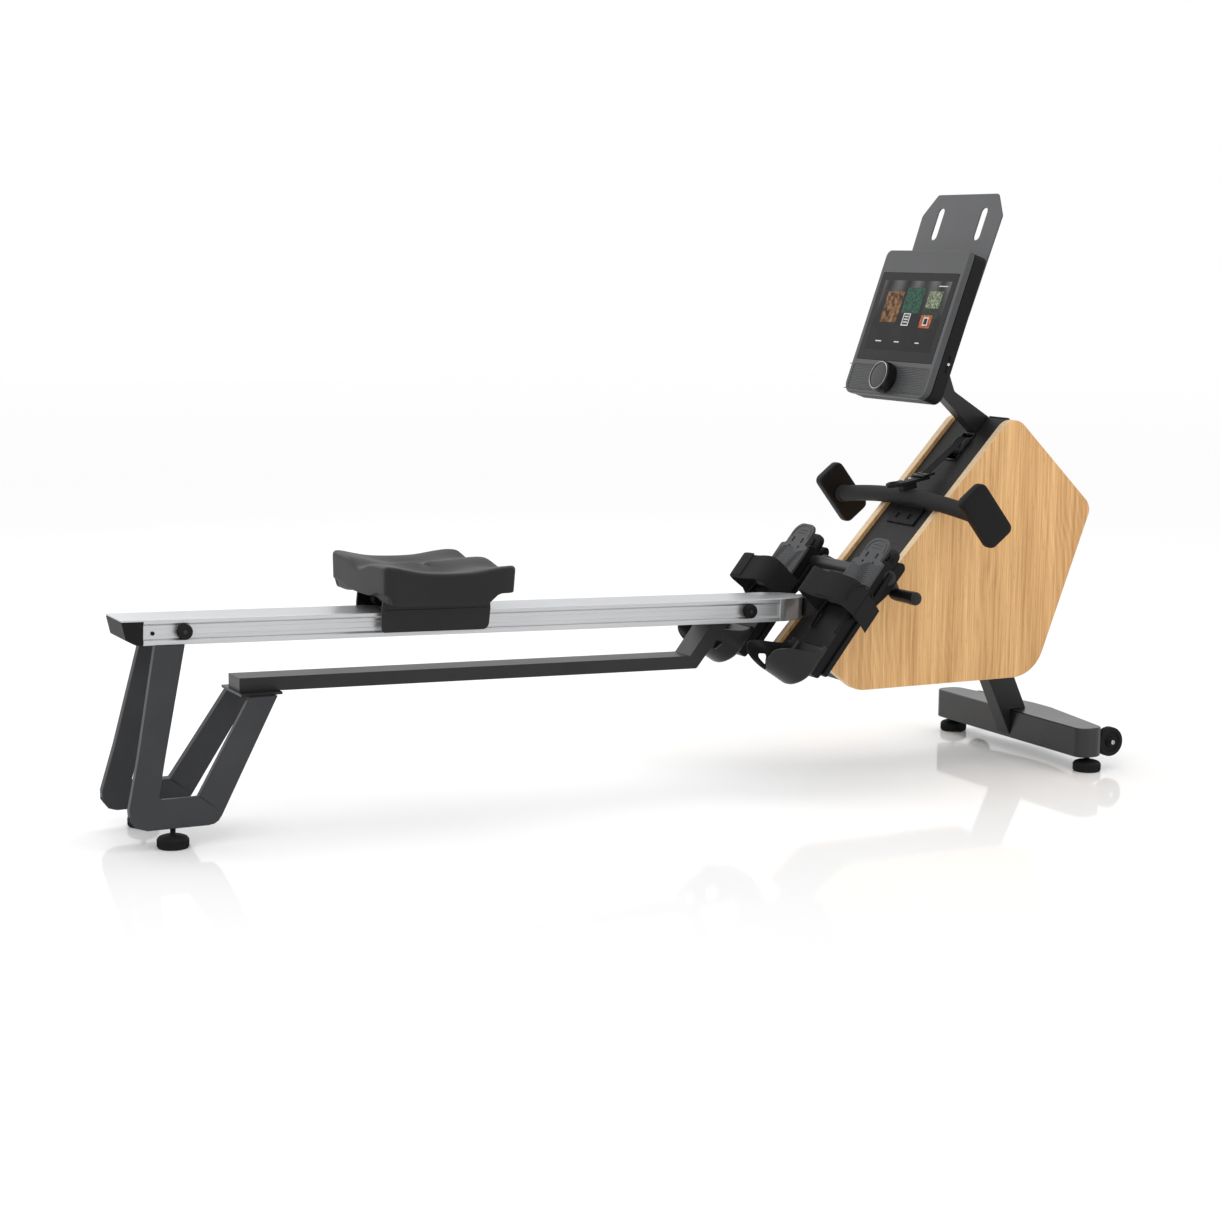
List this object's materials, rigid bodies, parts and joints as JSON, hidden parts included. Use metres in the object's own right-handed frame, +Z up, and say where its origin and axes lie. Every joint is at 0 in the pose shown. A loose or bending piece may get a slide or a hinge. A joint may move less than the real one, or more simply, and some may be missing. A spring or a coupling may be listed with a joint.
{
  "type": "rowing machine",
  "caption": "Low rail with a sliding seat, leading to a wood-sided drive housing with a strap-pulled handle, strapped foot plates and a touch-screen console on a mast.",
  "frame": {"origin": "on the floor at the middle of the machine's footprint", "axes": "+X from the rail's free end towards the drive housing, +Y to the rower's left when seated facing the console, +Z up"},
  "size_m": [1.9648, 0.5238, 1.1155],
  "materials": {
    "anodised_aluminium": "satin anodised",
    "black_painted_steel": "satin powder coat",
    "charcoal_painted_steel": "satin powder coat",
    "black_plastic": "fine textured",
    "grey_plastic": "satin moulded",
    "black_rubber": "matte",
    "pale_wood": "clear satin lacquer",
    "bright_steel": "plain machined",
    "cast_iron": "as cast with machined rim",
    "black_webbing": "woven",
    "screen_glass": "gloss black",
    "circuit_board": "green solder mask"
  },
  "bodies": {
    "frame": {"back_cover": "black_plastic", "control_board": "circuit_board", "drive_axle": "bright_steel", "drive_belt": "black_rubber", "foot_plate_l": "grey_plastic", "foot_plate_r": "grey_plastic", "foot_strap_l": "black_webbing", "foot_strap_r": "black_webbing", "frame_plate_l": "bright_steel", "frame_plate_r": "bright_steel", "front_base": "black_painted_steel", "handle_rest": "grey_plastic", "lower_beam": "black_painted_steel", "mast": "black_painted_steel", "neck": "black_painted_steel", "pedal_block_l": "black_plastic", "pedal_block_r": "black_plastic", "pedal_crossbar": "black_painted_steel", "pull_strap": "black_webbing", "rail": "anodised_aluminium", "rail_end_cap": "black_plastic", "rail_nose": "anodised_aluminium", "rear_leg_l": "charcoal_painted_steel", "rear_leg_r": "charcoal_painted_steel", "recoil_cassette": "grey_plastic", "side_panel_l": "pale_wood", "side_panel_r": "pale_wood", "slope_cover": "black_plastic", "stop_front_l": "black_rubber", "stop_front_r": "black_rubber", "stop_rear_l": "black_rubber", "stop_rear_r": "black_rubber", "strut": "black_painted_steel", "tension_motor": "grey_plastic"},
    "seat": {"seat_pad": "black_plastic", "seat_carriage": "black_painted_steel"},
    "rear_rollers": {"seat_rollers_rear": "black_rubber"},
    "front_rollers": {"seat_rollers_front": "black_rubber"},
    "handle": {"handle_bar": "black_rubber", "handle_paddle_l": "black_rubber", "handle_paddle_r": "black_rubber"},
    "spool": {"strap_spool": "grey_plastic"},
    "guide": {"guide_pulley": "grey_plastic"},
    "flywheel": {"flywheel": "cast_iron", "flywheel_shaft": "bright_steel"},
    "big_pulley": {"drive_pulley": "black_plastic"},
    "brake": {"brake_shoe": "bright_steel"},
    "console": {"console_body": "grey_plastic", "console_glass": "screen_glass", "console_bracket": "bright_steel", "tablet_plate": "charcoal_painted_steel"},
    "knob": {"console_knob": "black_plastic"},
    "wheel_left": {"wheel_l": "black_rubber"},
    "wheel_right": {"wheel_r": "black_rubber"},
    "heel_cup_left": {"heel_cup_l": "black_plastic"},
    "heel_cup_right": {"heel_cup_r": "black_plastic"},
    "rear_foot_left": {"foot_rear_l": "black_rubber"},
    "rear_foot_right": {"foot_rear_r": "black_rubber"},
    "front_foot_left": {"foot_front_l": "black_rubber"},
    "front_foot_right": {"foot_front_r": "black_rubber"}
  },
  "joints": [
    {"name": "seat_slide", "type": "slide", "parent": "frame", "child": "seat", "axis": [0.9997, 0, -0.0262], "range_m": [-0.335, 0.524]},
    {"name": "rear_roller_spin", "type": "hinge", "parent": "seat", "child": "rear_rollers", "pos_m": [-0.48746, 0, 0.38346], "axis": [0, 1, 0], "continuous": true},
    {"name": "front_roller_spin", "type": "hinge", "parent": "seat", "child": "front_rollers", "pos_m": [-0.34451, 0, 0.37972], "axis": [0, 1, 0], "continuous": true},
    {"name": "handle_pull", "type": "slide", "parent": "frame", "child": "handle", "axis": [-0.9901, 0, 0.14], "range_m": [0, 1.1], "stiffness_N_per_m": 10, "springref_m": -1, "deforming": ["pull_strap"]},
    {"name": "spool_turn", "type": "hinge", "parent": "frame", "child": "spool", "pos_m": [0.59036, 0, 0.3], "axis": [0, 1, 0], "continuous": true},
    {"name": "guide_turn", "type": "hinge", "parent": "frame", "child": "guide", "pos_m": [0.74436, 0, 0.621], "axis": [0, 1, 0], "continuous": true},
    {"name": "flywheel_spin", "type": "hinge", "parent": "frame", "child": "flywheel", "pos_m": [0.76036, 0, 0.36], "axis": [0, 1, 0], "continuous": true},
    {"name": "pulley_spin", "type": "hinge", "parent": "frame", "child": "big_pulley", "pos_m": [0.59036, 0, 0.3], "axis": [0, 1, 0], "continuous": true},
    {"name": "brake_swing", "type": "hinge", "parent": "frame", "child": "brake", "pos_m": [0.80056, 0, 0.5003], "axis": [0, 1, 0], "range_deg": [-12, 0]},
    {"name": "console_tilt", "type": "hinge", "parent": "frame", "child": "console", "pos_m": [0.64602, 0, 0.81714], "axis": [0, 1, 0], "range_deg": [-20, 20]},
    {"name": "knob_turn", "type": "hinge", "parent": "console", "child": "knob", "pos_m": [0.55573, 0, 0.76004], "axis": [-0.9424, 0, 0.3344], "continuous": true},
    {"name": "wheel_spin_left", "type": "hinge", "parent": "frame", "child": "wheel_left", "pos_m": [0.95336, 0.218, 0.052], "axis": [0, 1, 0], "continuous": true},
    {"name": "wheel_spin_right", "type": "hinge", "parent": "frame", "child": "wheel_right", "pos_m": [0.95336, -0.218, 0.052], "axis": [0, 1, 0], "continuous": true},
    {"name": "heel_cup_slide_left", "type": "slide", "parent": "frame", "child": "heel_cup_left", "axis": [0.6157, 0, 0.788], "range_m": [-0.03, 0.03]},
    {"name": "heel_cup_slide_right", "type": "slide", "parent": "frame", "child": "heel_cup_right", "axis": [0.6157, 0, 0.788], "range_m": [-0.03, 0.03]},
    {"name": "rear_foot_turn_left", "type": "hinge", "parent": "frame", "child": "rear_foot_left", "pos_m": [-0.90764, 0.088, 0.008], "axis": [0, 0, 1], "continuous": true},
    {"name": "rear_foot_turn_right", "type": "hinge", "parent": "frame", "child": "rear_foot_right", "pos_m": [-0.90764, -0.088, 0.008], "axis": [0, 0, 1], "continuous": true},
    {"name": "front_foot_turn_left", "type": "hinge", "parent": "frame", "child": "front_foot_left", "pos_m": [0.89486, 0.2267, 0.008], "axis": [0, 0, 1], "continuous": true},
    {"name": "front_foot_turn_right", "type": "hinge", "parent": "frame", "child": "front_foot_right", "pos_m": [0.89486, -0.2267, 0.008], "axis": [0, 0, 1], "continuous": true}
  ],
  "couplings": [
    {"joint": "rear_roller_spin", "follows": "seat_slide", "rad_per_m": 80},
    {"joint": "front_roller_spin", "follows": "seat_slide", "rad_per_m": 80},
    {"joint": "spool_turn", "follows": "handle_pull", "rad_per_m": -32.154},
    {"joint": "guide_turn", "follows": "handle_pull", "rad_per_m": -52.356},
    {"joint": "pulley_spin", "follows": "flywheel_spin", "ratio": 0.23158}
  ]
}
